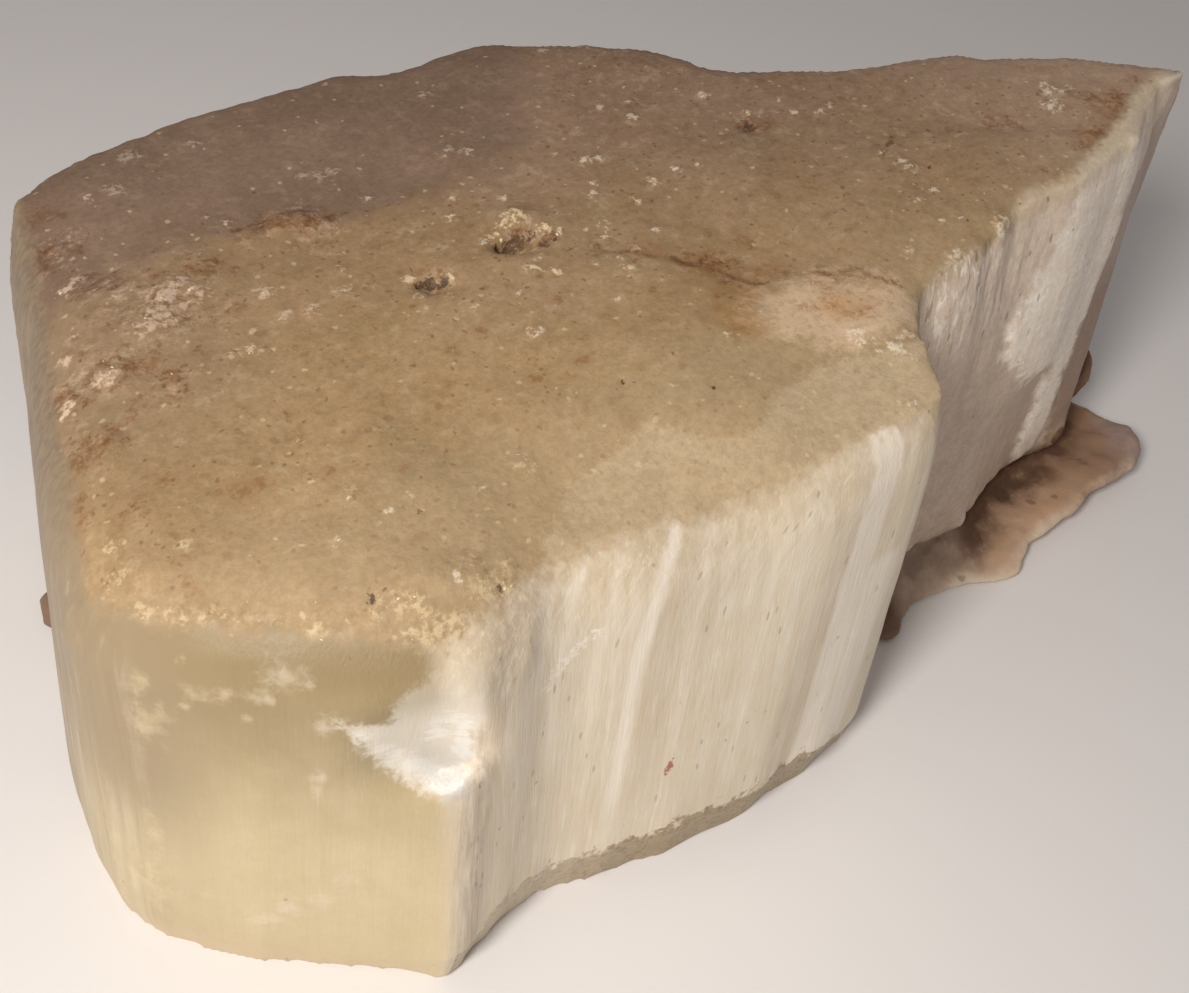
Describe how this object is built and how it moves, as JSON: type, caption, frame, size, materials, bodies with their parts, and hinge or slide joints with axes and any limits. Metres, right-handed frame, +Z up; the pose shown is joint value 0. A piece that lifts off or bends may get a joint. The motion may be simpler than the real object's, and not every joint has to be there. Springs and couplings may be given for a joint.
{
  "type": "satin spar gypsum specimen",
  "caption": "Broken slab of fibrous white-to-honey gypsum with upright fibres, a worn brown top, a notched flank and a thin brown crust at its foot.",
  "frame": {"origin": "centre of the stone's bounding box, on the flat base it rests on", "axes": "+X along the longest side toward the pointed end, +Y toward the back, +Z up along the fibres"},
  "size_m": [0.1694, 0.097, 0.0643],
  "materials": {
    "satin_spar": "silky fibrous sides, matt worn top"
  },
  "bodies": {
    "root": {"satin_spar": "satin_spar"}
  },
  "joints": []
}
